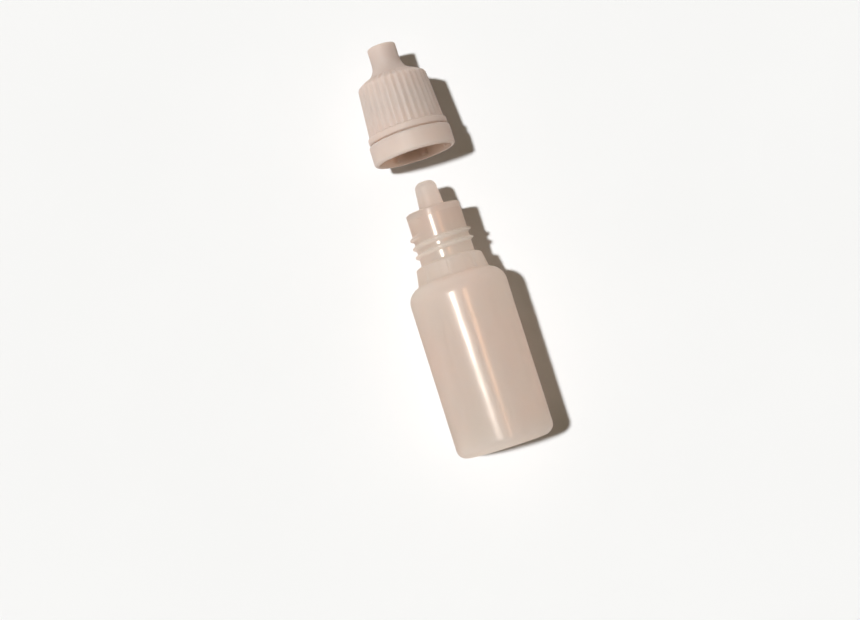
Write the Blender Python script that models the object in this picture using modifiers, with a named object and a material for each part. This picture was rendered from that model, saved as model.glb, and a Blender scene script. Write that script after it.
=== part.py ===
"""Dropper bottle of 15 ml, lying on its side with its closure off the tip.

Four mouldings: the blow-moulded squeeze bottle, the dropper insert pressed into its neck,
the ribbed screw cap, and the tamper band below the cap. Metres, +Z up. The neck axis runs
along +X at half the body's diameter above the surface that the bottle lies on, and the
origin is below the middle of the whole object. Every turned part is modelled upright on its
own +Z, from its lower end, and an empty on the neck axis then lays it down.
"""

import math

import bmesh
import bpy

MM = 0.001

# Bottle body
BODY_RADIUS = 12.5 * MM
BODY_WALL = 1.5 * MM
INNER_RISE = 0.1 * MM
BASE_CORNER = 2.5 * MM
BASE_THICKNESS = 2.0 * MM
BASE_PUSH_UP = 0.7 * MM
BASE_DISH_RADIUS = 7.8 * MM
BASE_DISH_EDGE = 0.4 * MM
COLLAR_FOOT = 44.15 * MM
SHOULDER_CORNER = 4.2 * MM
SHOULDER_SLOPE = math.radians(18)
THROAT_STEP = 1.2 * MM
THROAT_RISE = 0.5 * MM

# Ratchet collar under the neck
COLLAR_RADIUS = 8.6 * MM
COLLAR_TAPER = 0.5 * MM
LUG_RADIUS = 9.2 * MM
LUG_COUNT = 8
LUG_STEEP = math.radians(6)
LUG_CREST = math.radians(5)
LUG_RAMP = math.radians(19)
LUG_PHASE = math.radians(36)
COLLAR_TOP = 48.8 * MM
COLLAR_TOP_SLOPE = 0.8 / 2.1

# Neck finish and its right-hand thread
NECK_RADIUS = 6.9 * MM
NECK_BORE = 5.7 * MM
NECK_TOP = 60.2 * MM
PITCH = 2.25 * MM
NECK_CREST = 7.75 * MM
NECK_THREAD_START = 50.8 * MM
NECK_THREAD_TURNS = 2.33
NECK_THREAD_PHASE = math.radians(30)
NECK_THREAD_WIDTH = 1.35 * MM
THREAD_LAND = 0.2 * MM
THREAD_FADE = 1.0 / 6.0
THREAD_END_HEIGHT = 0.08
EDGE = 0.2 * MM

# Dropper insert
SEAT_GAP = 0.1 * MM
FLANGE_THICKNESS = 1.75 * MM
PLUG_RADIUS = 5.5 * MM
PLUG_LENGTH = 6.6 * MM
PLUG_WALL = 0.9 * MM
NOZZLE_BASE = 3.1 * MM
NOZZLE_TIP = 2.6 * MM
NOZZLE_LENGTH = 7.0 * MM
NOZZLE_CROWN = 1.1 * MM
NOZZLE_WALL = 1.1 * MM
ORIFICE_RADIUS = 0.35 * MM
ORIFICE_MOUTH = 0.8 * MM
ORIFICE_CONE = 1.0 * MM
ORIFICE_LENGTH = 1.8 * MM
HOLLOW_TOP = 2.4 * MM
TIP_EDGE = 0.4 * MM

# Tamper band, from the closure's mouth
BAND_RADIUS = 10.5 * MM
BAND_BORE = 9.45 * MM
BAND_HEIGHT = 5.2 * MM
BAND_LIP = 0.9 * MM
TOOTH_DEPTH = 0.5 * MM
TOOTH_WIDTH = math.radians(10)
TOOTH_FOOT = 1.0 * MM
TOOTH_HEAD = 4.6 * MM
BRIDGE_COUNT = 6
BRIDGE_WIDTH = 1.6 * MM
BRIDGE_PHASE = math.radians(52)
BRIDGE_GAP = 0.1 * MM
GROOVE = 0.45 * MM

# Screw cap, from the closure's mouth
CAP_BOTTOM = BAND_HEIGHT + GROOVE
CAP_FLANGE_RADIUS = 10.2 * MM
CAP_FLANGE_TOP = 7.4 * MM
SKIRT_RADIUS = 9.7 * MM
SHOULDER_RADIUS = 8.85 * MM
CAP_SHOULDER = 20.0 * MM
CAP_SLOPE = math.radians(30)
CAP_FLARE = 4.0 * MM
CAP_NOZZLE_RADIUS = 3.65 * MM
CAP_LENGTH = 29.2 * MM
CAP_LIP_RADIUS = 9.2 * MM
CAP_LIP = 0.75 * MM
CAP_BORE = 8.3 * MM
CAP_BORE_TOP = 13.7 * MM
CAP_CREST = 7.25 * MM
CAP_CEILING = 19.2 * MM
CAP_CEILING_RADIUS = 7.5 * MM
CAP_THREAD_START = 6.8 * MM
CAP_THREAD_TURNS = 2.0
CAP_THREAD_WIDTH = 1.3 * MM
PIN_RADIUS = 0.5 * MM
PIN_TIP = 24.1 * MM
CAVITY_RADIUS = 2.65 * MM
CAVITY_TOP = 28.2 * MM
RIB_COUNT = 33
RIB_PHASE = math.radians(1.3)
RIB_HEIGHT = 0.3 * MM
RIB_WIDTH = 0.85 * MM

# Closure's travel along the neck axis: a whole number of turns from screwed down to lying off
CLOSED_MOUTH = 44.25 * MM
TRAVEL_TURNS = 14

# Facets round each turned part; the cap has one facet for each rib
BODY_STEPS = 40
INSERT_STEPS = 32
THREAD_STEPS = 24
SUNK = 0.3 * MM

OPEN_MOUTH = CLOSED_MOUTH + TRAVEL_TURNS * PITCH
TOTAL_LENGTH = OPEN_MOUTH + CAP_LENGTH


def clear_scene():
    for old in list(bpy.data.objects):
        bpy.data.objects.remove(old, do_unlink=True)


def new_collection(name):
    collection = bpy.data.collections.new(name)
    bpy.context.scene.collection.children.link(collection)
    return collection


def plastic(name, colour, roughness):
    """A milky moulded plastic."""
    material = bpy.data.materials.new(name)
    material.use_nodes = True
    shader = material.node_tree.nodes["Principled BSDF"]
    shader.inputs["Base Color"].default_value = (*colour, 1.0)
    shader.inputs["Roughness"].default_value = roughness
    shader.inputs["Metallic"].default_value = 0.0
    return material


def arc(centre, radius, start_deg, end_deg, steps):
    """Points (r, z) on an arc, both ends included."""
    points = []
    for index in range(steps + 1):
        angle = math.radians(start_deg + (end_deg - start_deg) * index / steps)
        points.append((centre[0] + radius * math.cos(angle), centre[1] + radius * math.sin(angle)))
    return points


def add_object(name, mesh, collection, parent=None):
    item = bpy.data.objects.new(name, mesh)
    collection.objects.link(item)
    item.parent = parent
    return item


def turned(name, outline, steps, closed, collection, parent, start=0.0):
    """Turn an outline of (r, z) points round Z from a start angle. It runs down the outer side."""
    mesh = bpy.data.meshes.new(name)
    edges = [(index, index + 1) for index in range(len(outline) - 1)]
    if closed:
        edges.append((len(outline) - 1, 0))
    points = [(r * math.cos(start), r * math.sin(start), z) for r, z in outline]
    mesh.from_pydata(points, edges, [])
    item = add_object(name, mesh, collection, parent)
    screw = item.modifiers.new("turn", "SCREW")
    screw.steps = steps
    screw.render_steps = steps
    screw.use_merge_vertices = True
    screw.merge_threshold = 0.00001
    screw.use_smooth_shade = True
    return item


def cutter(name, mesh, collection, parent):
    """A guide shape that a Boolean reads; it isn't a part."""
    item = add_object(name, mesh, collection, parent)
    item.hide_render = True
    item.display_type = "WIRE"
    return item


def combine(item, operand, operation):
    boolean = item.modifiers.new(operand.name, "BOOLEAN")
    boolean.object = operand
    boolean.operation = operation
    boolean.solver = "EXACT"


def mesh_from(name, build):
    """A mesh whose faces are made in bmesh and turned outwards."""
    mesh = bpy.data.meshes.new(name)
    shape = bmesh.new()
    build(shape)
    bmesh.ops.recalc_face_normals(shape, faces=shape.faces)
    shape.to_mesh(mesh)
    shape.free()
    return mesh


def thread_ridge(name, root, crest, start, turns, width, phase):
    """A right-hand ridge that fades in and out over its first and last sixth of a turn."""
    inward = -1.0 if crest > root else 1.0

    def build(shape):
        sections = []
        count = round(turns * THREAD_STEPS)
        for index in range(count + 1):
            turn = turns * index / count
            rise = min(1.0, turn / THREAD_FADE, (turns - turn) / THREAD_FADE)
            height = (crest - root) * (THREAD_END_HEIGHT + (1 - THREAD_END_HEIGHT) * rise)
            centre = start + turn * PITCH
            corners = (
                (root + inward * SUNK, centre - width / 2),
                (root + height, centre - THREAD_LAND / 2),
                (root + height, centre + THREAD_LAND / 2),
                (root + inward * SUNK, centre + width / 2),
            )
            angle = phase + turn * 2 * math.pi
            sections.append([
                shape.verts.new((r * math.cos(angle), r * math.sin(angle), z)) for r, z in corners
            ])
        for lower, upper in zip(sections, sections[1:]):
            for corner in range(4):
                after = (corner + 1) % 4
                shape.faces.new((lower[corner], lower[after], upper[after], upper[corner]))
        shape.faces.new(sections[0])
        shape.faces.new(sections[-1])

    return mesh_from(name, build)


def polar_prism(shape, plan, low, high):
    """A prism on a plan of (r, angle) corners, from z = low to z = high, or to high(r)."""
    height = high if callable(high) else lambda radius: high
    floor = []
    for radius, angle in plan:
        floor.append(shape.verts.new((radius * math.cos(angle), radius * math.sin(angle), low)))
    face = shape.faces.new(floor)
    result = bmesh.ops.extrude_face_region(shape, geom=[face])
    for vert in result["geom"]:
        if isinstance(vert, bmesh.types.BMVert):
            vert.co.z = height(math.hypot(vert.co.x, vert.co.y))


def collar_top(radius):
    """Height of the collar's conical top at a radius."""
    return COLLAR_TOP - (radius - NECK_RADIUS) * COLLAR_TOP_SLOPE


def bottle_outline():
    """The bottle's half section: up the inner wall, over the neck and down the outer wall."""
    inner = BODY_RADIUS - BODY_WALL
    floor_corner = BASE_CORNER - BODY_WALL / 2
    floor = BASE_THICKNESS + INNER_RISE
    slope_angle = 90 - math.degrees(SHOULDER_SLOPE)
    slope_start = BODY_RADIUS - SHOULDER_CORNER * (1 - math.sin(SHOULDER_SLOPE))
    shoulder_end = COLLAR_FOOT - (slope_start - COLLAR_RADIUS) * math.tan(SHOULDER_SLOPE)
    arc_centre = shoulder_end - SHOULDER_CORNER * math.cos(SHOULDER_SLOPE)
    inner_corner = SHOULDER_CORNER - BODY_WALL
    points = [(0.0, BASE_PUSH_UP + BASE_THICKNESS)]
    points += arc((inner - floor_corner, floor + floor_corner), floor_corner, -90, 0, 3)
    points += arc((inner - inner_corner, arc_centre), inner_corner, 0, slope_angle, 3)
    points += [(NECK_BORE + THROAT_STEP, COLLAR_FOOT - BODY_WALL + EDGE)]
    points += [(NECK_BORE, COLLAR_FOOT + THROAT_RISE), (NECK_BORE, NECK_TOP)]
    points += [(NECK_RADIUS - EDGE, NECK_TOP), (NECK_RADIUS, NECK_TOP - EDGE)]
    collar_edge = COLLAR_RADIUS - COLLAR_TAPER
    points += [(NECK_RADIUS, COLLAR_TOP), (collar_edge, collar_top(collar_edge))]
    points += [(COLLAR_RADIUS, COLLAR_FOOT)]
    points += arc((BODY_RADIUS - SHOULDER_CORNER, arc_centre), SHOULDER_CORNER, slope_angle, 0, 5)
    points += arc((BODY_RADIUS - BASE_CORNER, BASE_CORNER), BASE_CORNER, 0, -90, 5)
    points += [(BASE_DISH_RADIUS + BASE_DISH_EDGE, 0.0), (BASE_DISH_RADIUS, BASE_DISH_EDGE)]
    points += [(0.0, BASE_PUSH_UP)]
    return points


def lug_mesh():
    """Ratchet lugs on the tapered collar: a steep face, a short crest and a ramp behind it."""

    def build(shape):
        for index in range(LUG_COUNT):
            start = LUG_PHASE + 2 * math.pi * index / LUG_COUNT
            crest = start + LUG_STEEP
            ramp = crest + LUG_CREST
            foot = ramp + LUG_RAMP
            inside = COLLAR_RADIUS - COLLAR_TAPER - SUNK
            side = COLLAR_RADIUS - SUNK / 3
            plan = (
                (inside, start),
                (side, start),
                (LUG_RADIUS, crest),
                (LUG_RADIUS, ramp),
                (side, foot),
                (inside, foot),
            )
            polar_prism(shape, plan, COLLAR_FOOT - 2 * SUNK, collar_top)

    return mesh_from("ratchet_lugs", build)


def make_bottle(parts, cutters, parent, material):
    bottle = turned("bottle", bottle_outline(), BODY_STEPS, False, parts, parent)
    lugs = cutter("ratchet_lugs", lug_mesh(), cutters, parent)
    combine(bottle, lugs, "UNION")
    ridge = thread_ridge("neck_thread", NECK_RADIUS, NECK_CREST, NECK_THREAD_START,
                         NECK_THREAD_TURNS, NECK_THREAD_WIDTH, NECK_THREAD_PHASE)
    combine(bottle, cutter("neck_thread", ridge, cutters, parent), "UNION")
    bottle.data.materials.append(material)
    return bottle


def make_insert(parts, parent, material):
    """The dropper tip: a plug in the neck's bore, a flange on its rim and a tapered nozzle."""
    seat = NECK_TOP + SEAT_GAP
    top = seat + FLANGE_THICKNESS
    tip = top + NOZZLE_LENGTH
    plug_end = seat - PLUG_LENGTH
    rim = TIP_EDGE
    bore = PLUG_RADIUS - PLUG_WALL
    outline = [(ORIFICE_RADIUS, tip - ORIFICE_CONE), (ORIFICE_MOUTH, tip)]
    outline += arc((NOZZLE_TIP - NOZZLE_CROWN, tip - NOZZLE_CROWN), NOZZLE_CROWN, 90, 0, 3)
    outline += [(NOZZLE_BASE, top + rim), (NOZZLE_BASE + rim, top)]
    outline += arc((NECK_RADIUS - rim, top - rim), rim, 90, 0, 2)
    outline += [(NECK_RADIUS, seat + EDGE), (NECK_RADIUS - EDGE, seat), (PLUG_RADIUS, seat)]
    outline += [(PLUG_RADIUS, plug_end + rim), (PLUG_RADIUS - rim, plug_end)]
    outline += [(bore, plug_end), (bore, seat - 1.5 * rim)]
    outline += [(NOZZLE_BASE - NOZZLE_WALL, top - rim)]
    outline += [(NOZZLE_TIP - NOZZLE_WALL, tip - HOLLOW_TOP)]
    outline += [(ORIFICE_RADIUS, tip - ORIFICE_LENGTH)]
    insert = turned("dropper_insert", outline, INSERT_STEPS, True, parts, parent)
    insert.data.materials.append(material)
    return insert


def band_detail_mesh():
    """Ratchet teeth inside the band, between the lugs, and the bridge stubs on its top."""

    def build(shape):
        lug_span = LUG_STEEP + LUG_CREST + LUG_RAMP
        valley = LUG_PHASE + lug_span + (2 * math.pi / LUG_COUNT - lug_span) / 2
        for index in range(LUG_COUNT):
            middle = 2 * math.pi * index / LUG_COUNT + valley
            start = middle - TOOTH_WIDTH / 2
            end = middle + TOOTH_WIDTH / 2
            plan = (
                (BAND_BORE + SUNK, start),
                (BAND_BORE - TOOTH_DEPTH, start),
                (BAND_BORE - TOOTH_DEPTH, middle),
                (BAND_BORE + SUNK, end),
            )
            polar_prism(shape, plan, TOOTH_FOOT, TOOTH_HEAD)
        for index in range(BRIDGE_COUNT):
            middle = BRIDGE_PHASE + 2 * math.pi * index / BRIDGE_COUNT
            half = BRIDGE_WIDTH / 2 / BAND_RADIUS
            inside = BAND_BORE + SUNK / 2
            outside = CAP_FLANGE_RADIUS - EDGE
            plan = (
                (inside, middle - half),
                (outside, middle - half),
                (outside, middle + half),
                (inside, middle + half),
            )
            polar_prism(shape, plan, BAND_HEIGHT - SUNK, CAP_BOTTOM - BRIDGE_GAP)

    return mesh_from("band_details", build)


def make_band(parts, cutters, parent, material):
    outline = [(BAND_BORE, BAND_HEIGHT), (BAND_RADIUS - EDGE, BAND_HEIGHT)]
    outline += [(BAND_RADIUS, BAND_HEIGHT - EDGE)]
    outline += arc((BAND_RADIUS - BAND_LIP, BAND_LIP), BAND_LIP, 0, -90, 4)
    outline += [(BAND_BORE, EDGE)]
    band = turned("tamper_band", outline, BODY_STEPS, True, parts, parent)
    combine(band, cutter("band_details", band_detail_mesh(), cutters, parent), "UNION")
    band.data.materials.append(material)
    return band


def cone_height(radius):
    """Height of the cap's sloped shoulder at a radius, over the rib tops."""
    return CAP_SHOULDER + (SHOULDER_RADIUS - radius) * math.tan(CAP_SLOPE)


def cap_outline():
    """The cap's half section: down the outside, up the bore, and down the sealing pin."""
    fillet_r = CAP_NOZZLE_RADIUS + CAP_FLARE
    foot = CAP_NOZZLE_RADIUS + CAP_FLARE * (1 - math.sin(CAP_SLOPE))
    valley_drop = RIB_HEIGHT / math.cos(CAP_SLOPE)
    foot_height = cone_height(foot) - valley_drop
    fillet_z = foot_height + CAP_FLARE * math.cos(CAP_SLOPE)
    valley = SHOULDER_RADIUS - RIB_HEIGHT
    flare_end = 180 + 90 - math.degrees(CAP_SLOPE)
    outline = [(0.0, CAP_LENGTH), (CAP_NOZZLE_RADIUS - EDGE, CAP_LENGTH)]
    outline += [(CAP_NOZZLE_RADIUS, CAP_LENGTH - EDGE)]
    outline += arc((fillet_r, fillet_z), CAP_FLARE, 180, flare_end, 4)
    outline += [(valley, cone_height(valley) - valley_drop)]
    outline += [(SKIRT_RADIUS - RIB_HEIGHT, CAP_FLANGE_TOP + EDGE)]
    outline += [(CAP_FLANGE_RADIUS - EDGE, CAP_FLANGE_TOP)]
    outline += [(CAP_FLANGE_RADIUS, CAP_FLANGE_TOP - EDGE), (CAP_FLANGE_RADIUS, CAP_BOTTOM)]
    outline += [(CAP_LIP_RADIUS, CAP_BOTTOM), (CAP_LIP_RADIUS, CAP_BOTTOM - CAP_LIP)]
    outline += [(CAP_BORE, CAP_BOTTOM - CAP_LIP), (CAP_BORE, CAP_BORE_TOP)]
    outline += [(CAP_CEILING_RADIUS, CAP_CEILING), (4.4 * MM, CAP_CEILING + 1.8 * MM)]
    outline += [(3.2 * MM, CAP_CEILING + 3.7 * MM), (2.8 * MM, CAP_CEILING + 5.3 * MM)]
    outline += [(CAVITY_RADIUS, CAVITY_TOP), (PIN_RADIUS + EDGE, CAVITY_TOP)]
    outline += [(PIN_RADIUS, PIN_TIP + EDGE), (0.0, PIN_TIP)]
    return outline


def rib_mesh():
    """Finger ribs up the skirt and onto the shoulder, one on each facet."""
    foot = CAP_NOZZLE_RADIUS + CAP_FLARE * (1 - math.sin(CAP_SLOPE))
    fading = foot + 2 * SUNK
    buried = RIB_HEIGHT + SUNK
    side = (
        (SKIRT_RADIUS - buried, CAP_FLANGE_TOP - EDGE),
        (SKIRT_RADIUS, CAP_FLANGE_TOP - EDGE),
        (SHOULDER_RADIUS, CAP_SHOULDER),
        (fading, cone_height(fading)),
        (foot, cone_height(foot) - buried),
        (SHOULDER_RADIUS - buried, CAP_SHOULDER - buried),
    )

    def build(shape):
        half = RIB_WIDTH / 2
        for index in range(RIB_COUNT):
            angle = RIB_PHASE + 2 * math.pi * index / RIB_COUNT
            across = (-math.sin(angle) * half, math.cos(angle) * half)
            faces = []
            for sign in (-1, 1):
                corners = []
                for radius, height in side:
                    taper = radius / SKIRT_RADIUS * sign
                    corners.append(shape.verts.new((
                        radius * math.cos(angle) + across[0] * taper,
                        radius * math.sin(angle) + across[1] * taper,
                        height,
                    )))
                faces.append(corners)
                shape.faces.new(corners)
            for corner in range(len(side)):
                after = (corner + 1) % len(side)
                shape.faces.new((faces[0][corner], faces[0][after], faces[1][after], faces[1][corner]))

    return mesh_from("finger_ribs", build)


def make_cap(parts, cutters, parent, material):
    half_facet = math.pi / RIB_COUNT
    cap = turned("cap", cap_outline(), RIB_COUNT, False, parts, parent, RIB_PHASE - half_facet)
    combine(cap, cutter("finger_ribs", rib_mesh(), cutters, parent), "UNION")
    # The cap's ridge runs half a pitch from the neck's, so the two mesh when it is closed.
    neck_turn = (CLOSED_MOUTH + CAP_THREAD_START - NECK_THREAD_START) / PITCH
    phase = NECK_THREAD_PHASE + 2 * math.pi * (neck_turn + 0.5)
    ridge = thread_ridge("cap_thread", CAP_BORE, CAP_CREST, CAP_THREAD_START, CAP_THREAD_TURNS,
                         CAP_THREAD_WIDTH, phase)
    combine(cap, cutter("cap_thread", ridge, cutters, parent), "UNION")
    cap.data.materials.append(material)
    return cap


def neck_axis(name, distance, collection):
    """An empty on the neck axis, with its +Z along the object's +X."""
    empty = add_object(name, None, collection)
    empty.location = (distance - TOTAL_LENGTH / 2, 0.0, BODY_RADIUS)
    empty.rotation_euler = (0.0, math.pi / 2, 0.0)
    return empty


def main():
    clear_scene()
    parts = new_collection("dropper_bottle")
    cutters = new_collection("cutters")
    milky = plastic("milky_polyethylene", (0.62, 0.50, 0.41), 0.38)
    tip_plastic = plastic("dropper_polyethylene", (0.66, 0.54, 0.44), 0.35)
    closure_plastic = plastic("closure_plastic", (0.70, 0.60, 0.52), 0.5)
    bottle_axis = neck_axis("bottle_axis", 0.0, parts)
    closure_axis = neck_axis("closure_axis", OPEN_MOUTH, parts)
    make_bottle(parts, cutters, bottle_axis, milky)
    make_insert(parts, bottle_axis, tip_plastic)
    make_band(parts, cutters, closure_axis, closure_plastic)
    make_cap(parts, cutters, closure_axis, closure_plastic)


main()
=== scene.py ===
"""Looks of a 15 ml dropper bottle lying on its side, with its closure off the tip.

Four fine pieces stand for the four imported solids: the milky squeeze bottle, the dropper tip
pressed into its neck, the ribbed screw cap and the tamper band. Each is a turned shell with
its threads, ribs, lugs and teeth raised from the surface by a rule. Metres, +Z up; the neck
axis runs along +X.
"""

import math
from collections import namedtuple

import bpy
import numpy as np
from mathutils import Matrix, Vector


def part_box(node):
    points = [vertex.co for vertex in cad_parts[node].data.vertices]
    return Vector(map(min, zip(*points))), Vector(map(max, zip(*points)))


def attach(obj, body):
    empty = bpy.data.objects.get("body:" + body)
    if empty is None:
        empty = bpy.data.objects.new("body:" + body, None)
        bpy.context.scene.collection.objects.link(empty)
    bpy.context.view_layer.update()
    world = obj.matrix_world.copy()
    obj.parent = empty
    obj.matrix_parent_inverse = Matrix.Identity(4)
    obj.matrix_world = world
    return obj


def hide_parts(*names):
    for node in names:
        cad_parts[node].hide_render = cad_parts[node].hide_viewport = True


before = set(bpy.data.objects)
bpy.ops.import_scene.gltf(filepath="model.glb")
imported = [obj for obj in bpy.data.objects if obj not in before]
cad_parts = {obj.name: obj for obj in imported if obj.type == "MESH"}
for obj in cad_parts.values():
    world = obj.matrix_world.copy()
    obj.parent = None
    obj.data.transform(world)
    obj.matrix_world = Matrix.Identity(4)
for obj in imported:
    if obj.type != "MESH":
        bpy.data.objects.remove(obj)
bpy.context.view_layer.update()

MM = 0.001
TURN = 2 * math.pi

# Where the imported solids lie: the bottle's base and the closure's mouth on the neck axis
BASE_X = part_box("bottle")[0].x
MOUTH_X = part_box("tamper_band")[0].x
CAP_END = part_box("cap")[1].x - MOUTH_X
AXIS_Z = (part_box("bottle")[0].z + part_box("bottle")[1].z) / 2

# Bottle body. BODY_SET is how far the wall sinks in, in BODY_SET_COUNT soft flats near the base
BODY_RADIUS = AXIS_Z
BODY_WALL = 1.5 * MM
BODY_WAVE = 0.07 * MM
BODY_SET = 0.12 * MM
BODY_SET_COUNT = 6
BODY_SET_PHASE = math.radians(170)
SEAM_HEIGHT = 0.03 * MM
SEAM_WIDTH = 0.3 * MM
BASE_CORNER = 2.5 * MM
BASE_CORNER_SHARE = 0.7
BASE_THICKNESS = 2.0 * MM
BASE_RIM_EXTRA = 0.1 * MM
BASE_PUSH_UP = 0.7 * MM
BASE_DISH_RADIUS = 7.8 * MM
BASE_DISH_EDGE = 0.4 * MM
COLLAR_FOOT = 44.15 * MM
SHOULDER_CORNER = 4.2 * MM
SHOULDER_SLOPE = math.radians(18)
SHOULDER_LEDGE = 0.5 * MM
THROAT_FLARE = 1.2 * MM
THROAT_LOW = COLLAR_FOOT - BODY_WALL + 0.2 * MM
THROAT_HIGH = COLLAR_FOOT + 0.5 * MM

# Ratchet collar under the neck
COLLAR_RADIUS = 8.6 * MM
COLLAR_TAPER = 0.5 * MM
COLLAR_BLEND = 1.5 * MM
COLLAR_BLEND_DEPTH = 2.0 * MM
LUG_RISE = 0.6 * MM
LUG_TAPER = 0.4
LUG_COUNT = 8
LUG_STEEP = math.radians(6)
LUG_CREST = math.radians(5)
LUG_RAMP = math.radians(19)
LUG_PHASE = math.radians(36)
COLLAR_TOP = 48.8 * MM
COLLAR_TOP_SLOPE = 0.8 / 2.1
COLLAR_TOP_BLEND = 0.3 * MM
NECK_CLEAR = 0.2 * MM

# Neck and its thread
NECK_RADIUS = 6.9 * MM
NECK_BORE = 5.7 * MM
NECK_TOP = 60.2 * MM
PITCH = 2.25 * MM
NECK_THREAD_RISE = 0.8 * MM
NECK_THREAD_START = 50.8 * MM
NECK_THREAD_END = 57.8 * MM
NECK_THREAD_TURNS = 2.33
NECK_THREAD_PHASE = math.radians(30)
NECK_THREAD_WIDTH = 1.35 * MM
THREAD_LAND = 0.22 * MM
THREAD_STRAIGHT = 0.2
THREAD_FADE = 1 / 6

# Dropper tip
TIP_SEAT = NECK_TOP + 0.01 * MM
TIP_JOINT = 0.03 * MM
FLANGE_THICKNESS = 1.75 * MM
PLUG_RADIUS = 5.5 * MM
PLUG_LENGTH = 6.6 * MM
PLUG_WALL = 0.9 * MM
PLUG_CEILING = 0.6 * MM
PLUG_BEAD = 0.12 * MM
PLUG_BEAD_DEPTH = 2.7 * MM
PLUG_BEAD_RUN = 0.5 * MM
NOZZLE_BASE = 3.2 * MM
NOZZLE_TIP = 2.6 * MM
NOZZLE_LENGTH = 7.08 * MM
NOZZLE_CROWN = 1.75 * MM
NOZZLE_WALL = 1.1 * MM
NOZZLE_FOOT_DROP = 0.4 * MM
NOZZLE_END = 2.4 * MM
ORIFICE_RADIUS = 0.35 * MM
ORIFICE_MOUTH = 0.75 * MM
ORIFICE_LENGTH = 1.8 * MM
ORIFICE_FLARE = 1.0 * MM

# Tamper band, from the closure's mouth. ROWS are stretches with closely spaced points
BAND_RADIUS = 10.5 * MM
BAND_BORE = 9.45 * MM
BAND_HEIGHT = 5.35 * MM
BAND_LIP = 0.9 * MM
BAND_INNER_LIP = 0.15 * MM
TOOTH_DEPTH = 0.5 * MM
TOOTH_STEEP = math.radians(1.5)
TOOTH_WIDTH = math.radians(10)
TOOTH_FOOT = 1.0 * MM
TOOTH_HEAD = 4.6 * MM
TOOTH_END = 0.12 * MM
TOOTH_END_ROWS = 0.15 * MM
BRIDGE_COUNT = 6
BRIDGE_WIDTH = 1.6 * MM
BRIDGE_PHASE = math.radians(52)
BRIDGE_RISE = 0.2 * MM
BRIDGE_EDGE = 0.2 * MM
BRIDGE_IN = 9.6 * MM
BRIDGE_OUT = 10.0 * MM

# Screw cap, from the closure's mouth
CAP_BOTTOM = 5.65 * MM
CAP_FLANGE_RADIUS = 10.2 * MM
CAP_FLANGE_TOP = 7.4 * MM
CAP_FLANGE_EDGE = 0.45 * MM
SKIRT_RADIUS = 9.7 * MM
SHOULDER_RADIUS = 8.85 * MM
CAP_SHOULDER = 20.0 * MM
CAP_SLOPE = math.radians(30)
CAP_FLARE = 4.0 * MM
CAP_NOZZLE_RADIUS = 3.65 * MM
CAP_BORE = 8.3 * MM
CAP_BORE_END = 13.7 * MM
CAP_CEILING = 19.2 * MM
CAP_CEILING_RADIUS = 7.5 * MM
CAP_THREAD_RISE = 1.05 * MM
CAP_THREAD_START = 6.8 * MM
CAP_THREAD_TURNS = 2.0
CAP_THREAD_WIDTH = 1.3 * MM
PIN_RADIUS = 0.5 * MM
PIN_TIP = 24.1 * MM
PIN_ROUND = 0.3 * MM
PIN_TAPER = 0.2 * MM
CAVITY_LOW = (4.4 * MM, 21.0 * MM)
CAVITY_MIDDLE = (3.2 * MM, 22.9 * MM)
CAVITY_HIGH = (2.8 * MM, 24.5 * MM)
CAVITY_END = (2.65 * MM, 28.2 * MM)
CAVITY_FILLET = 1.5 * MM
RIB_COUNT = 33
RIB_PHASE = math.radians(1.3)
RIB_RISE = 0.19 * MM
RIB_SHARE = 0.9
RIB_FOOT = 0.25 * MM
RIB_FOOT_ROWS = 0.35 * MM
RIB_END = 1.0 * MM
RIB_END_GAP = 0.1 * MM
CAP_LIP_RADIUS = 9.38 * MM
CAP_LIP = 0.75 * MM
CLOSED_MOUTH = 44.25 * MM

# Limits that sort an outline's points. FACES_IN and FACES_OUT bound the normal's radial part
SLACK = 0.02 * MM
TINY = 1e-9
FACES_IN = -0.5
FACES_OUT = -0.05
OUTSIDE_RADIUS = NECK_BORE + 0.5 * MM

# Fineness of the turned meshes, and how much of a side its two fillets may take
ARC_STEP = math.radians(14)
SLIGHT_TURN = 0.02
FILLET_SHARE = 0.98
BODY_COLUMNS = 280
TIP_COLUMNS = 192
CAP_COLUMNS = 12 * RIB_COUNT

# Camera, looking almost straight down at the bottle
CAMERA_PLACE = Vector((-35.08, 23.33, 384.25)) * MM
CAMERA_AIM = Vector((-14.56, 8.18, 12.5)) * MM
CAMERA_TURN = math.radians(17.54)
CAMERA_LENS = 62.7
CAMERA_NEAR = 10 * MM

# Light: tilt and lean are angles from straight up, towards +Y and +X, and size is a lamp's width
KEY_TILT = math.radians(21)
KEY_LEAN = math.radians(5.5)
KEY_SIZE = math.radians(3.5)
KEY_STRENGTH = 3.63
KEY_COLOUR = (0.965, 0.985, 1.0)
WARM_TILT = math.radians(-11)
WARM_LEAN = math.radians(3)
WARM_SIZE = math.radians(9)
WARM_STRENGTH = 0.65
WARM_COLOUR = (1.0, 0.6, 0.38)
SKY_TOP = (0.09, 0.066, 0.034)
SKY_RIM = (1.1, 1.07, 1.0)
SKY_RIM_LOW = math.radians(3)
SKY_RIM_HIGH = math.radians(20)

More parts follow.
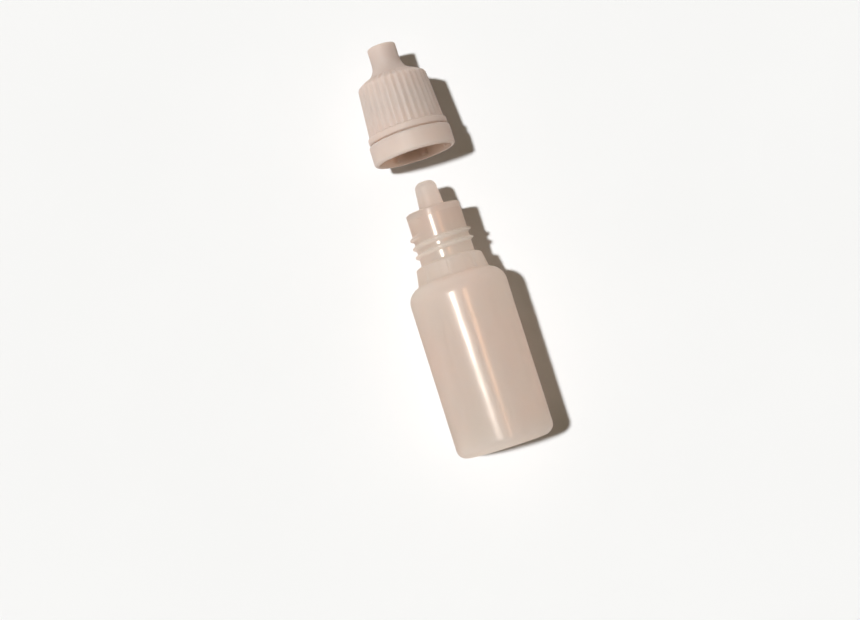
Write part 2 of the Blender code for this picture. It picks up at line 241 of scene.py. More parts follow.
# Plastics. Gloss is a range of roughness, shine the level of clear reflection, haze the weight of
# the soft coat, depth how far light spreads inside, through the share that shines through, and
# ripple and grain the heights of the skin's slow and fine unevenness. SPREAD is how far each colour
# spreads, as a share of the depth.
Plastic = namedtuple("Plastic", "colour gloss shine haze depth through ripple grain")
MILKY = Plastic(
    colour=(0.91, 0.855, 0.817),
    gloss=(0.2, 0.26),
    shine=1.0,
    haze=0.6,
    depth=5.0 * MM,
    through=0.8,
    ripple=0.02 * MM,
    grain=0.0007 * MM,
)
CLEAR = Plastic(
    colour=(0.925, 0.87, 0.83),
    gloss=(0.26, 0.34),
    shine=1.0,
    haze=0.4,
    depth=5.0 * MM,
    through=0.88,
    ripple=0.01 * MM,
    grain=0.001 * MM,
)
MATT = Plastic(
    colour=(0.735, 0.603, 0.54),
    gloss=(0.5, 0.6),
    shine=0.4,
    haze=0.1,
    depth=4.0 * MM,
    through=0.32,
    ripple=0.01 * MM,
    grain=0.003 * MM,
)
PLASTIC_IOR = 1.58
SPREAD = (1.0, 0.9, 0.82)
SHINE_COLOUR = (1.0, 0.94, 0.86)
HAZE_COLOUR = (1.0, 0.9, 0.82)
HAZE_ROUGHNESS = 0.42
SHEEN_SHARE = 0.3
SHEEN_ROUGHNESS = 0.4

# Unevenness of the plastics: shares of each colour, and noise steps to a millimetre
CLOUDING = (0.02, -0.008, -0.012)
CLOUD_RATE = 0.07
GLOSS_RATE = 0.7
RIPPLE_RATE = 0.3
RIPPLE_STRETCH = (0.35, 1.0, 1.0)
GRAIN_RATE = 9.0
NOISE_LOW = 0.3
NOISE_HIGH = 0.7

# Floor
FLOOR_SIZE = 6.0
FLOOR_COLOUR = (0.80, 0.80, 0.80)
FLOOR_CLOUDING = (0.006, 0.006, 0.006)
FLOOR_CLOUD_RATE = 0.02
FLOOR_SHINE = 0.1
FLOOR_GLOSS = (0.85, 0.95)
FLOOR_GLOSS_RATE = 0.3
FLOOR_TOOTH = 0.004 * MM
FLOOR_TOOTH_RATE = 2.0

# A bend of an outline: its place, the fillet that rounds it, and the spacing of the points after it
Corner = namedtuple("Corner", "radius along fillet step", defaults=(0.0, 0.8 * MM))


# Outlines ---------------------------------------------------------------------------------

def straight(start, end, step):
    """Points from start towards end, the end left out."""
    count = max(1, math.ceil(np.linalg.norm(end - start) / step))
    return [start + (end - start) * index / count for index in range(count)]


def rounded_corner(before, here, after, fillet, room):
    """Points of the arc that rounds one corner. Room is the share of each side it may take."""
    arriving = here - before
    leaving = after - here
    arriving_length = np.linalg.norm(arriving)
    leaving_length = np.linalg.norm(leaving)
    arriving = arriving / arriving_length
    leaving = leaving / leaving_length
    turning = math.acos(max(-1.0, min(1.0, float(arriving @ leaving))))
    if fillet <= 0 or turning < SLIGHT_TURN:
        return [here]
    reach = min(fillet * math.tan(turning / 2), room[0] * arriving_length, room[1] * leaving_length)
    radius = reach / math.tan(turning / 2)
    start = here - arriving * reach
    side = leaving - arriving * float(arriving @ leaving)
    inward = side / np.linalg.norm(side)
    centre = start + inward * radius
    count = max(2, math.ceil(turning / ARC_STEP))
    points = []
    for index in range(count + 1):
        angle = turning * index / count
        points.append(centre - inward * radius * math.cos(angle) + arriving * radius * math.sin(angle))
    return points


def outline(corners, closed):
    """The rounded outline's points (radius, along), with straight stretches divided."""
    places = [np.array((corner.radius, corner.along)) for corner in corners]
    last = len(corners) - 1
    bends = []
    for index, corner in enumerate(corners):
        if not closed and index in (0, last):
            bends.append([places[index]])
            continue
        sides = (index - 1, (index + 1) % len(places))
        fillets = corner.fillet + TINY
        room = [FILLET_SHARE * fillets / (fillets + corners[side].fillet) for side in sides]
        before, after = (places[side] for side in sides)
        bends.append(rounded_corner(before, places[index], after, corner.fillet, room))
    points = []
    for index, bend in enumerate(bends):
        points += bend[:-1]
        if closed or index < last:
            points += straight(bend[-1], bends[(index + 1) % len(bends)][0], corners[index].step)
        else:
            points.append(bend[-1])
    return np.array(points)


def outward(points, closed):
    """Unit normals of an outline that runs up the inside and down the outside."""
    if closed:
        tangent = np.roll(points, -1, axis=0) - np.roll(points, 1, axis=0)
    else:
        tangent = np.gradient(points, axis=0)
    tangent = tangent / np.linalg.norm(tangent, axis=1)[:, None]
    return np.stack((-tangent[:, 1], tangent[:, 0]), axis=1)


# Turned meshes ----------------------------------------------------------------------------

def turned(name, corners, columns, start_x, shape=None, closed=False):
    """Turn an outline round the neck axis. shape(radius, along, angle, normal) moves the points."""
    points = outline(corners, closed)
    normal = outward(points, closed)
    angle = np.arange(columns) * TURN / columns
    radius = np.repeat(points[:, 0:1], columns, axis=1)
    along = np.repeat(points[:, 1:2], columns, axis=1)
    angles = np.repeat(angle[None, :], len(points), axis=0)
    if shape:
        radius, along = shape(radius, along, angles, normal)
    verts = np.stack((
        start_x + along,
        radius * np.sin(angles),
        AXIS_Z - radius * np.cos(angles),
    ), axis=-1)
    poles = [] if closed else [0, len(points) - 1]
    poles = [row for row in poles if points[row, 0] < TINY]
    faces = ring_faces(len(points), columns, closed)
    mesh = bpy.data.meshes.new(name)
    mesh.from_pydata(*merge_poles(verts, faces, poles, columns))
    mesh.validate()
    mesh.shade_smooth()
    piece = bpy.data.objects.new(name, mesh)
    bpy.context.scene.collection.objects.link(piece)
    return piece


def ring_faces(rows, columns, closed):
    """Quads between neighbouring rings, wound so that they face out."""
    faces = []
    for row in range(rows if closed else rows - 1):
        below = row * columns
        above = (row + 1) % rows * columns
        for column in range(columns):
            after = (column + 1) % columns
            faces.append((below + column, above + column, above + after, below + after))
    return faces


def merge_poles(verts, faces, poles, columns):
    """Make one vertex of each ring that lies on the axis, and drop the doubled corners."""
    flat = verts.reshape(-1, 3)
    target = np.arange(len(flat))
    for row in poles:
        target[row * columns:(row + 1) * columns] = row * columns
    used, index = np.unique(target, return_inverse=True)
    tidy = []
    for face in faces:
        corners = [int(index[corner]) for corner in face]
        tidy.append(tuple(dict.fromkeys(corners)))
    return flat[used].tolist(), [], tidy


# Shape rules ------------------------------------------------------------------------------

def smooth(value):
    """A rise from 0 to 1 with flat ends."""
    value = np.clip(value, 0.0, 1.0)
    return value * value * (3 - 2 * value)


def between(value, low, high, edge):
    """1 from low to high, with ramps of the edge's width inside both ends."""
    return np.clip(np.minimum(value - low, high - value) / edge, 0.0, 1.0)


def thread(along, angle, start, turns, width, phase):
    """Height from 0 to 1 of a right-hand ridge that fades in and out at its ends."""
    height = np.zeros_like(along)
    for loop in range(math.ceil(turns) + 2):
        turn = np.mod(angle - phase, TURN) / TURN + loop - 1
        fade = smooth(np.minimum(turn, turns - turn) / THREAD_FADE)
        offset = np.abs(along - start - turn * PITCH)
        flank = np.clip((width / 2 - offset) / (width / 2 - THREAD_LAND / 2), 0.0, 1.0)
        profile = THREAD_STRAIGHT * flank + (1 - THREAD_STRAIGHT) * smooth(flank)
        height = np.maximum(height, fade * profile)
    return height


def lug_height(angle):
    """Height from 0 to 1 of the ratchet lugs: a steep face, a short crest and a long ramp."""
    step = TURN / LUG_COUNT
    place = np.mod(angle - LUG_PHASE, step)
    rise = smooth(place / LUG_STEEP)
    fall = 1 - (place - LUG_STEEP - LUG_CREST) / LUG_RAMP
    return np.clip(np.minimum(rise, fall), 0.0, 1.0)


def bottle_shape(radius, along, angle, normal):
    """Lugs on the collar, the neck's thread, the body's slight waviness and its mould seam."""
    outside = (normal[:, 0] > FACES_OUT)[:, None] & (radius > OUTSIDE_RADIUS)
    push, drop = lug_push(outside, radius, along, angle)
    ridge = thread(along, angle, NECK_THREAD_START, NECK_THREAD_TURNS, NECK_THREAD_WIDTH,
                   NECK_THREAD_PHASE)
    on_neck = outside & (along > COLLAR_TOP + NECK_CLEAR)
    push = push + NECK_THREAD_RISE * np.where(on_neck, ridge, 0.0)
    on_body = outside & (along < COLLAR_FOOT - SHOULDER_LEDGE)
    push = push - np.where(on_body, body_sink(radius, along, angle), 0.0)
    return radius + push, along - drop


def lug_push(outside, radius, along, angle):
    """How far the lugs push the collar out, blending into the shoulder, and how far the pushed
    points drop to stay on the slopes above and below the collar.
    """
    foot = COLLAR_FOOT - SLACK
    on_collar = outside & (along > foot) & (along <= COLLAR_TOP + SLACK)
    full = COLLAR_RADIUS - COLLAR_TAPER - NECK_RADIUS
    share = np.clip((radius - NECK_RADIUS) / full, 0.0, 1.0)
    on_shoulder = outside & (along <= foot) & (radius < COLLAR_RADIUS + COLLAR_BLEND)
    on_shoulder &= along > COLLAR_FOOT - COLLAR_BLEND_DEPTH
    fade = 1 - np.clip((radius - COLLAR_RADIUS) / COLLAR_BLEND, 0.0, 1.0)
    reach = np.where(on_collar, share, np.where(on_shoulder, fade, 0))
    collar_side = COLLAR_TOP - (COLLAR_RADIUS - NECK_RADIUS) * COLLAR_TOP_SLOPE
    height = np.clip((along - COLLAR_FOOT) / (collar_side - COLLAR_FOOT), 0.0, 1.0)
    push = LUG_RISE * lug_height(angle) * reach
    push = push * (1 - LUG_TAPER * height)
    drop = push * (height * COLLAR_TOP_SLOPE + (1 - height) * math.tan(SHOULDER_SLOPE))
    return push, drop


def body_sink(radius, along, angle):
    """How far the blown wall lies inside the body's radius, everywhere but along its mould seam."""
    seam = smooth(np.abs(np.cos(angle)) * BODY_RADIUS / SEAM_WIDTH)
    uneven = np.sin(BODY_SET_COUNT * (angle - BODY_SET_PHASE))
    settled = BODY_SET * (1 - uneven) * np.clip(1 - along / COLLAR_FOOT, 0.0, 1.0)
    sunk = (BODY_WAVE * waviness(along, angle) + SEAM_HEIGHT + settled) * seam
    from_base = (radius - BODY_RADIUS + BASE_CORNER) / (BASE_CORNER * BASE_CORNER_SHARE)
    return sunk * smooth(from_base)


def waviness(along, angle):
    """A gentle unevenness from 0 to 1 of a blown wall: three waves of growing rate, a rate being
    in radians to a millimetre along and in whole waves round the axis.
    """
    place = along / MM
    slow = np.sin(0.21 * place + 1.9 * np.sin(angle) + 0.6)
    middle = np.sin(0.47 * place - 2 * angle + 1.1 * np.cos(0.13 * place))
    quick = np.sin(0.83 * place + 3 * angle + 0.5) * np.cos(5 * angle)
    return np.clip(0.5 + 0.22 * slow + 0.16 * middle + 0.12 * quick, 0.0, 1.0)


def tooth_height(angle):
    """Height from 0 to 1 of the band's ratchet teeth, each midway between two lugs."""
    step = TURN / LUG_COUNT
    lug_span = LUG_STEEP + LUG_CREST + LUG_RAMP
    first = LUG_PHASE + lug_span + (step - lug_span) / 2 - TOOTH_WIDTH / 2
    place = np.mod(angle - first + TOOTH_STEEP, step)
    rise = smooth(place / TOOTH_STEEP)
    fall = 1 - (place - TOOTH_STEEP - TOOTH_WIDTH / 2) / (TOOTH_WIDTH / 2)
    return np.clip(np.minimum(rise, fall), 0.0, 1.0)


def band_shape(radius, along, angle, normal):
    """Teeth inside the band and the broken bridges on its top."""
    inside = (normal[:, 0] < FACES_IN)[:, None]
    teeth = tooth_height(angle) * between(along, TOOTH_FOOT, TOOTH_HEAD, TOOTH_END)
    radius = radius - np.where(inside, TOOTH_DEPTH * teeth, 0.0)
    step = TURN / BRIDGE_COUNT
    offset = np.abs(np.mod(angle - BRIDGE_PHASE + step / 2, step) - step / 2) * BAND_RADIUS
    wide = smooth(((BRIDGE_WIDTH + BRIDGE_EDGE) / 2 - offset) / BRIDGE_EDGE)
    on_top = between(radius, BRIDGE_IN - SLACK, BRIDGE_OUT + SLACK, 2 * SLACK)
    lifted = np.where(along > BAND_HEIGHT - SLACK / 2, on_top, 0.0)
    return radius, along + BRIDGE_RISE * wide * lifted


def rib_height(angle):
    """Height from 0 to 1 of the rounded finger ribs."""
    step = TURN / RIB_COUNT
    offset = np.abs(np.mod(angle - RIB_PHASE + step / 2, step) - step / 2) / (step / 2)
    return smooth(1 - offset / RIB_SHARE)


def cap_shape(radius, along, angle, normal):
    """Finger ribs on the skirt and the cone, and the thread inside."""
    cone_foot = CAP_NOZZLE_RADIUS + CAP_FLARE * (1 - math.sin(CAP_SLOPE))
    outside = (normal[:, 0] + normal[:, 1] > 0)[:, None]
    outside = outside & (along > CAP_FLANGE_TOP) & (radius > cone_foot)
    low = smooth((along - CAP_FLANGE_TOP - SLACK) / RIB_FOOT)
    high = smooth((radius - cone_foot - RIB_END_GAP) / RIB_END)
    rise = np.where(outside, RIB_RISE * rib_height(angle) * low * high, 0.0)
    new_radius = radius + rise * normal[:, 0:1]
    new_along = along + rise * normal[:, 1:2]
    inside = (normal[:, 0] < FACES_IN)[:, None] & (radius > NECK_RADIUS)
    # Half a turn on, so that the closed cap's ridge runs midway between the neck's
    neck_turn = (CLOSED_MOUTH + CAP_THREAD_START - NECK_THREAD_START) / PITCH
    phase = NECK_THREAD_PHASE + TURN * (neck_turn + 0.5)
    ridge = thread(along, angle, CAP_THREAD_START, CAP_THREAD_TURNS, CAP_THREAD_WIDTH, phase)
    return new_radius - np.where(inside, CAP_THREAD_RISE * ridge, 0.0), new_along


# Pieces -----------------------------------------------------------------------------------

def make_bottle():
    """The blown bottle: dished base, straight body, rounded shoulder, collar and neck."""
    inner = BODY_RADIUS - BODY_WALL
    floor = BASE_THICKNESS + BASE_RIM_EXTRA
    slope = math.tan(SHOULDER_SLOPE)
    ledge = COLLAR_RADIUS + SHOULDER_LEDGE
    ledge_along = COLLAR_FOOT - slope * (ledge - COLLAR_RADIUS)
    edge_along = COLLAR_FOOT - (BODY_RADIUS - COLLAR_RADIUS) * slope
    inner_edge = edge_along - BODY_WALL / math.cos(SHOULDER_SLOPE) + BODY_WALL * slope
    throat = NECK_BORE + THROAT_FLARE
    collar_edge = COLLAR_RADIUS - COLLAR_TAPER
    collar_side = COLLAR_TOP - (collar_edge - NECK_RADIUS) * COLLAR_TOP_SLOPE
    corners = [
        Corner(0.0, BASE_PUSH_UP + BASE_THICKNESS),
        Corner(BASE_DISH_RADIUS, floor, fillet=3.0 * MM),
        Corner(inner, floor, fillet=BASE_CORNER - BODY_WALL / 2, step=1.5 * MM),
        Corner(inner, inner_edge, fillet=SHOULDER_CORNER - BODY_WALL, step=0.4 * MM),
        Corner(throat, THROAT_LOW, fillet=0.6 * MM, step=0.4 * MM),
        Corner(NECK_BORE, THROAT_HIGH, fillet=0.6 * MM, step=1.2 * MM),
        Corner(NECK_BORE, NECK_TOP, fillet=TIP_JOINT, step=0.5 * MM),
        Corner(NECK_RADIUS, NECK_TOP, fillet=TIP_JOINT, step=0.5 * MM),
        Corner(NECK_RADIUS, NECK_THREAD_END, step=0.085 * MM),
        Corner(NECK_RADIUS, COLLAR_TOP + COLLAR_TOP_BLEND, step=0.1 * MM),
        Corner(NECK_RADIUS, COLLAR_TOP, fillet=0.5 * MM, step=0.3 * MM),
        Corner(collar_edge, collar_side, fillet=0.4 * MM, step=0.3 * MM),
        Corner(COLLAR_RADIUS, COLLAR_FOOT, fillet=0.8 * MM, step=0.2 * MM),
        Corner(ledge, ledge_along, step=0.3 * MM),
        Corner(BODY_RADIUS, edge_along, fillet=SHOULDER_CORNER, step=0.5 * MM),
        Corner(BODY_RADIUS, 0.0, fillet=BASE_CORNER, step=0.4 * MM),
        Corner(BASE_DISH_RADIUS + BASE_DISH_EDGE, 0.0, fillet=0.5 * MM, step=0.2 * MM),
        Corner(BASE_DISH_RADIUS, BASE_DISH_EDGE, fillet=0.5 * MM),
        Corner(0.0, BASE_PUSH_UP),
    ]
    return turned("bottle_shell", corners, BODY_COLUMNS, BASE_X, bottle_shape)


def make_tip():
    """The moulded tip: plug in the bore, flange on the rim, tapered nozzle with its orifice."""
    top = TIP_SEAT + FLANGE_THICKNESS
    end = top + NOZZLE_LENGTH
    foot = TIP_SEAT - PLUG_LENGTH
    bead = TIP_SEAT - PLUG_BEAD_DEPTH
    bore = PLUG_RADIUS - PLUG_WALL
    corners = [
        Corner(ORIFICE_RADIUS, end - ORIFICE_LENGTH, fillet=0.1 * MM, step=0.3 * MM),
        Corner(ORIFICE_RADIUS, end - ORIFICE_FLARE, fillet=0.2 * MM, step=0.2 * MM),
        Corner(ORIFICE_MOUTH, end, fillet=0.25 * MM, step=0.2 * MM),
        Corner(NOZZLE_TIP, end, fillet=NOZZLE_CROWN, step=0.5 * MM),
        Corner(NOZZLE_BASE, top, fillet=0.45 * MM, step=0.3 * MM),
        Corner(NECK_RADIUS, top, fillet=0.4 * MM, step=0.3 * MM),
        Corner(NECK_RADIUS, TIP_SEAT, fillet=TIP_JOINT, step=0.3 * MM),
        Corner(PLUG_RADIUS, TIP_SEAT, fillet=0.1 * MM, step=0.3 * MM),
        Corner(PLUG_RADIUS, bead + PLUG_BEAD_RUN, fillet=0.2 * MM, step=0.2 * MM),
        Corner(PLUG_RADIUS + PLUG_BEAD, bead, fillet=0.3 * MM, step=0.2 * MM),
        Corner(PLUG_RADIUS, bead - PLUG_BEAD_RUN, fillet=0.2 * MM, step=0.5 * MM),
        Corner(PLUG_RADIUS, foot, fillet=0.4 * MM, step=0.3 * MM),
        Corner(bore, foot, fillet=0.2 * MM, step=0.6 * MM),
        Corner(bore, TIP_SEAT - PLUG_CEILING, fillet=0.6 * MM, step=0.4 * MM),
        Corner(NOZZLE_BASE - NOZZLE_WALL, top - NOZZLE_FOOT_DROP, fillet=0.6 * MM, step=0.6 * MM),
        Corner(NOZZLE_TIP - NOZZLE_WALL, end - NOZZLE_END, fillet=0.3 * MM, step=0.3 * MM),
    ]
    return turned("dropper_tip", corners, TIP_COLUMNS, BASE_X, closed=True)


def make_band():
    """The tamper band: rounded lower lip, teeth inside and bridge stubs on top."""
    corners = [
        Corner(BAND_BORE, BAND_INNER_LIP, fillet=BAND_INNER_LIP, step=0.2 * MM),
        Corner(BAND_BORE, TOOTH_FOOT, step=0.05 * MM),
        Corner(BAND_BORE, TOOTH_FOOT + TOOTH_END_ROWS, step=0.5 * MM),
        Corner(BAND_BORE, TOOTH_HEAD - TOOTH_END_ROWS, step=0.05 * MM),
        Corner(BAND_BORE, TOOTH_HEAD, step=0.2 * MM),
        Corner(BAND_BORE, BAND_HEIGHT, fillet=0.08 * MM, step=0.1 * MM),
        Corner(BRIDGE_IN - SLACK, BAND_HEIGHT, step=0.1 * MM),
        Corner(BRIDGE_IN + SLACK, BAND_HEIGHT, step=0.1 * MM),
        Corner(BRIDGE_OUT - SLACK, BAND_HEIGHT, step=0.1 * MM),
        Corner(BRIDGE_OUT + SLACK, BAND_HEIGHT, step=0.1 * MM),
        Corner(BAND_RADIUS, BAND_HEIGHT, fillet=0.45 * MM, step=0.5 * MM),
        Corner(BAND_RADIUS, 0.0, fillet=BAND_LIP, step=0.2 * MM),
    ]
    return turned("tamper_ring", corners, BODY_COLUMNS, MOUTH_X, band_shape, closed=True)


def make_cap():
    """The screw cap: flared nozzle, ribbed cone and skirt, flange; bore, cavity and sealing pin."""
    valley_drop = RIB_RISE / math.cos(CAP_SLOPE)
    slope = math.tan(CAP_SLOPE)
    valley = SHOULDER_RADIUS - RIB_RISE
    cone_tip = CAP_SHOULDER + (SHOULDER_RADIUS - CAP_NOZZLE_RADIUS) * slope - valley_drop
    cone_edge = CAP_SHOULDER + RIB_RISE * slope - valley_drop
    skirt_foot = SKIRT_RADIUS - RIB_RISE
    lip_along = CAP_BOTTOM - CAP_LIP
    corners = [
        Corner(0.0, CAP_END),
        Corner(CAP_NOZZLE_RADIUS, CAP_END, fillet=0.5 * MM),
        Corner(CAP_NOZZLE_RADIUS, cone_tip, fillet=CAP_FLARE, step=0.25 * MM),
        Corner(valley, cone_edge, fillet=0.7 * MM, step=0.7 * MM),
        Corner(skirt_foot, CAP_FLANGE_TOP + RIB_FOOT_ROWS, step=0.06 * MM),
        Corner(skirt_foot, CAP_FLANGE_TOP, step=0.25 * MM),
        Corner(CAP_FLANGE_RADIUS, CAP_FLANGE_TOP, fillet=CAP_FLANGE_EDGE, step=0.5 * MM),
        Corner(CAP_FLANGE_RADIUS, CAP_BOTTOM, fillet=CAP_FLANGE_EDGE, step=0.5 * MM),
        Corner(CAP_LIP_RADIUS, CAP_BOTTOM, fillet=0.1 * MM, step=0.3 * MM),
        Corner(CAP_LIP_RADIUS, lip_along, fillet=0.15 * MM, step=0.3 * MM),
        Corner(CAP_BORE, lip_along, fillet=0.3 * MM, step=0.12 * MM),
        Corner(CAP_BORE, CAP_BORE_END, fillet=1.0 * MM, step=0.6 * MM),
        Corner(CAP_CEILING_RADIUS, CAP_CEILING, fillet=0.8 * MM, step=0.5 * MM),
        Corner(*CAVITY_LOW, fillet=CAVITY_FILLET, step=0.5 * MM),
        Corner(*CAVITY_MIDDLE, fillet=CAVITY_FILLET, step=0.5 * MM),
        Corner(*CAVITY_HIGH, fillet=CAVITY_FILLET, step=0.6 * MM),
        Corner(*CAVITY_END, fillet=0.5 * MM, step=0.4 * MM),
        Corner(PIN_RADIUS + PIN_TAPER, CAVITY_END[1], fillet=0.2 * MM, step=0.5 * MM),
        Corner(PIN_RADIUS, PIN_TIP + PIN_ROUND, fillet=PIN_ROUND, step=0.2 * MM),
        Corner(0.0, PIN_TIP),
    ]
    return turned("cap_shell", corners, CAP_COLUMNS, MOUTH_X, cap_shape)


# Materials --------------------------------------------------------------------------------

def empty_material(name):
    """A new material with no nodes."""
    material = bpy.data.materials.new(name)
    material.use_nodes = True
    material.node_tree.nodes.clear()
    return material


def noise(tree, per_mm, detail, stretch=(1.0, 1.0, 1.0)):
    """Noise in the piece's own place, with so many steps to a millimetre."""
    place = tree.nodes.new("ShaderNodeTexCoord")
    mapping = tree.nodes.new("ShaderNodeMapping")
    mapping.inputs["Scale"].default_value = [per_mm * part / MM for part in stretch]
    texture = tree.nodes.new("ShaderNodeTexNoise")
    texture.inputs["Scale"].default_value = 1.0
    texture.inputs["Detail"].default_value = detail
    tree.links.new(place.outputs["Object"], mapping.inputs["Vector"])
    tree.links.new(mapping.outputs["Vector"], texture.inputs["Vector"])
    return texture.outputs["Fac"]


def ranged(tree, value, low, high):
    """A noise value, which mostly lies between NOISE_LOW and NOISE_HIGH, spread from low to high."""
    spread = tree.nodes.new("ShaderNodeMapRange")
    spread.inputs["From Min"].default_value = NOISE_LOW
    spread.inputs["From Max"].default_value = NOISE_HIGH
    spread.inputs["To Min"].default_value = low
    spread.inputs["To Max"].default_value = high
    tree.links.new(value, spread.inputs["Value"])
    return spread.outputs["Result"]


def varied(tree, colour, shares, value):
    """The colour, with each part lowered and raised by its share as the value goes from 0 to 1."""
    mix = tree.nodes.new("ShaderNodeMix")
    mix.data_type = "RGBA"
    pairs = list(zip(colour, shares))
    mix.inputs["A"].default_value = (*[part * (1 - share) for part, share in pairs], 1.0)
    mix.inputs["B"].default_value = (*[min(1.0, part * (1 + share)) for part, share in pairs], 1.0)
    tree.links.new(value, mix.inputs["Factor"])
    return mix.outputs["Result"]


def bumped(tree, height, distance, normal=None):
    """A surface normal roughened by the height, which spans the distance, on top of another."""
    bump = tree.nodes.new("ShaderNodeBump")
    bump.inputs["Strength"].default_value = 1.0
    bump.inputs["Distance"].default_value = distance
    tree.links.new(height, bump.inputs["Height"])
    if normal:
        tree.links.new(normal, bump.inputs["Normal"])
    return bump.outputs["Normal"]


def plastic(name, look):
    """Milky moulded plastic: light enters it, so it glows a little, and its skin is satin.

    A hazy coat spreads a soft glow round the highlights and lifts the edges.
    """
    material = empty_material(name)
    tree = material.node_tree
    cloud = ranged(tree, noise(tree, CLOUD_RATE, detail=2.0), 0.0, 1.0)
    tint = varied(tree, look.colour, CLOUDING, cloud)
    rough = ranged(tree, noise(tree, GLOSS_RATE, detail=5.0), *look.gloss)
    slow = noise(tree, RIPPLE_RATE, detail=2.0, stretch=RIPPLE_STRETCH)
    fine = noise(tree, GRAIN_RATE, detail=3.0)
    normal = bumped(tree, fine, look.grain, bumped(tree, slow, look.ripple))
    shader = tree.nodes.new("ShaderNodeBsdfPrincipled")
    shader.inputs["IOR"].default_value = PLASTIC_IOR
    shader.inputs["Specular IOR Level"].default_value = look.shine
    shader.inputs["Specular Tint"].default_value = (*SHINE_COLOUR, 1.0)
    shader.inputs["Coat Weight"].default_value = look.haze
    shader.inputs["Coat Roughness"].default_value = HAZE_ROUGHNESS
    shader.inputs["Coat Tint"].default_value = (*HAZE_COLOUR, 1.0)
    shader.inputs["Sheen Weight"].default_value = look.haze * SHEEN_SHARE
    shader.inputs["Sheen Roughness"].default_value = SHEEN_ROUGHNESS
    shader.inputs["Sheen Tint"].default_value = (*HAZE_COLOUR, 1.0)
    shader.inputs["Subsurface Weight"].default_value = 1.0
    shader.inputs["Subsurface Radius"].default_value = SPREAD
    shader.inputs["Subsurface Scale"].default_value = look.depth
    tree.links.new(tint, shader.inputs["Base Color"])
    tree.links.new(rough, shader.inputs["Roughness"])
    tree.links.new(normal, shader.inputs["Normal"])
    glow = tree.nodes.new("ShaderNodeBsdfTranslucent")
    tree.links.new(tint, glow.inputs["Color"])
    tree.links.new(normal, glow.inputs["Normal"])
    mix = tree.nodes.new("ShaderNodeMixShader")
    mix.inputs["Fac"].default_value = look.through
    tree.links.new(shader.outputs["BSDF"], mix.inputs[1])
    tree.links.new(glow.outputs["BSDF"], mix.inputs[2])
    output = tree.nodes.new("ShaderNodeOutputMaterial")
    tree.links.new(mix.outputs["Shader"], output.inputs["Surface"])
    return material


def floor_material():
    """Plain pale card with a faint tooth."""
    material = empty_material("pale_card")
    tree = material.node_tree
    cloud = ranged(tree, noise(tree, FLOOR_CLOUD_RATE, detail=3.0), 0.0, 1.0)
    tint = varied(tree, FLOOR_COLOUR, FLOOR_CLOUDING, cloud)
    normal = bumped(tree, noise(tree, FLOOR_TOOTH_RATE, detail=4.0), FLOOR_TOOTH)
    shader = tree.nodes.new("ShaderNodeBsdfPrincipled")
    shader.inputs["Specular IOR Level"].default_value = FLOOR_SHINE
    rough = ranged(tree, noise(tree, FLOOR_GLOSS_RATE, detail=3.0), *FLOOR_GLOSS)
    tree.links.new(tint, shader.inputs["Base Color"])
    tree.links.new(rough, shader.inputs["Roughness"])
    tree.links.new(normal, shader.inputs["Normal"])
    output = tree.nodes.new("ShaderNodeOutputMaterial")
    tree.links.new(shader.outputs["BSDF"], output.inputs["Surface"])
    return material


# Studio -----------------------------------------------------------------------------------

def make_floor():
    """The card that the bottle lies on."""
    bpy.ops.mesh.primitive_plane_add(size=FLOOR_SIZE, location=(0.0, 0.0, 0.0))
    floor = bpy.context.object
    floor.name = "floor"
    floor.data.materials.append(floor_material())


def sun(name, tilt, lean, size, strength, colour, gleam_only=False):
    """A distant lamp. Tilt leans it towards +Y and lean towards +X, from straight up.

    A gleam_only lamp shows in clear and hazy reflections and gives no other light.
    """
    light = bpy.data.lights.new(name, "SUN")
    light.angle = size
    light.energy = strength
    light.color = colour
    lamp = bpy.data.objects.new(name, light)
    towards = Vector((math.tan(lean), math.tan(tilt), 1.0))
    lamp.rotation_euler = towards.to_track_quat("Z", "Y").to_euler()
    lamp.visible_diffuse = not gleam_only
    lamp.visible_transmission = not gleam_only
    bpy.context.scene.collection.objects.link(lamp)


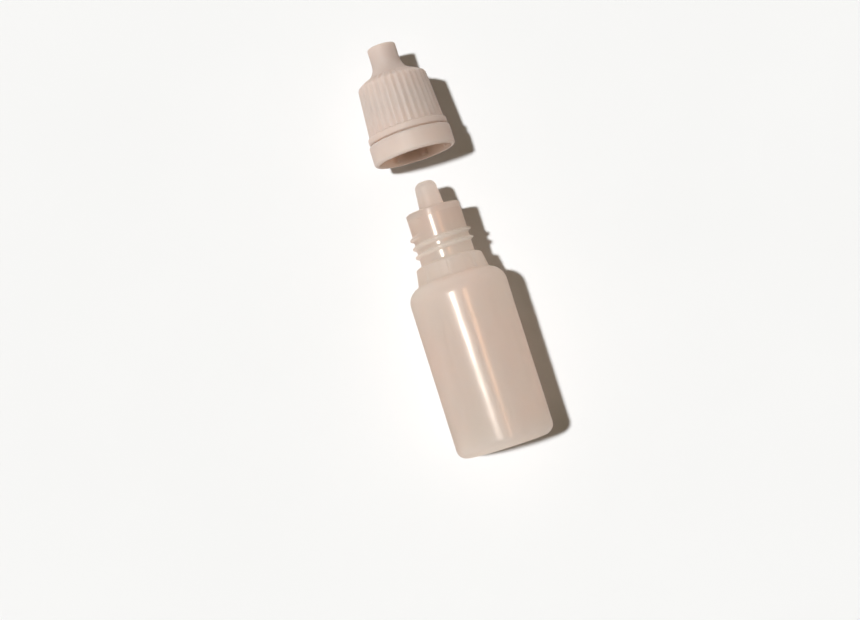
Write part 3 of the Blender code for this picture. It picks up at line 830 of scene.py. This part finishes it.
def make_sky():
    """A soft room: pale walls round a dimmer ceiling."""
    world = bpy.data.worlds.new("studio")
    bpy.context.scene.world = world
    world.use_nodes = True
    tree = world.node_tree
    background = tree.nodes["Background"]
    place = tree.nodes.new("ShaderNodeTexCoord")
    split = tree.nodes.new("ShaderNodeSeparateXYZ")
    spread = tree.nodes.new("ShaderNodeMapRange")
    spread.interpolation_type = "SMOOTHSTEP"
    spread.inputs["From Min"].default_value = math.sin(SKY_RIM_LOW)
    spread.inputs["From Max"].default_value = math.sin(SKY_RIM_HIGH)
    mix = tree.nodes.new("ShaderNodeMix")
    mix.data_type = "RGBA"
    mix.inputs["A"].default_value = (*SKY_RIM, 1.0)
    mix.inputs["B"].default_value = (*SKY_TOP, 1.0)
    tree.links.new(place.outputs["Generated"], split.inputs["Vector"])
    tree.links.new(split.outputs["Z"], spread.inputs["Value"])
    tree.links.new(spread.outputs["Result"], mix.inputs["Factor"])
    tree.links.new(mix.outputs["Result"], background.inputs["Color"])


def make_camera():
    """Almost overhead, turned so that the neck axis leans to the left of the picture's upright."""
    camera = bpy.data.objects.new("camera", bpy.data.cameras.new("camera"))
    camera.data.lens = CAMERA_LENS
    camera.data.clip_start = CAMERA_NEAR
    back = (CAMERA_PLACE - CAMERA_AIM).normalized()
    upright = Vector((math.cos(CAMERA_TURN), -math.sin(CAMERA_TURN), 0.0))
    right = upright.cross(back).normalized()
    turn = Matrix((right, back.cross(right), back)).transposed()
    camera.matrix_world = Matrix.Translation(CAMERA_PLACE) @ turn.to_4x4()
    bpy.context.scene.collection.objects.link(camera)
    bpy.context.scene.camera = camera


# The bottle -------------------------------------------------------------------------------

def finish_piece(piece, material, body, node):
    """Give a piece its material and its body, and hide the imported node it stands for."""
    piece.data.materials.append(material)
    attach(piece, body)
    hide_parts(node)


def main():
    """Make the four pieces, the floor, the light and the camera."""
    milky = plastic("milky_polyethylene", MILKY)
    clear = plastic("tip_polyethylene", CLEAR)
    matt = plastic("closure_plastic", MATT)
    finish_piece(make_bottle(), milky, "bottle", "bottle")
    finish_piece(make_tip(), clear, "bottle", "dropper_insert")
    finish_piece(make_band(), matt, "tamper_band", "tamper_band")
    finish_piece(make_cap(), matt, "cap", "cap")
    make_floor()
    sun("key", KEY_TILT, KEY_LEAN, KEY_SIZE, KEY_STRENGTH, KEY_COLOUR)
    sun("warm", WARM_TILT, WARM_LEAN, WARM_SIZE, WARM_STRENGTH, WARM_COLOUR, gleam_only=True)
    make_sky()
    make_camera()
    bpy.context.scene.view_settings.view_transform = "Standard"


main()
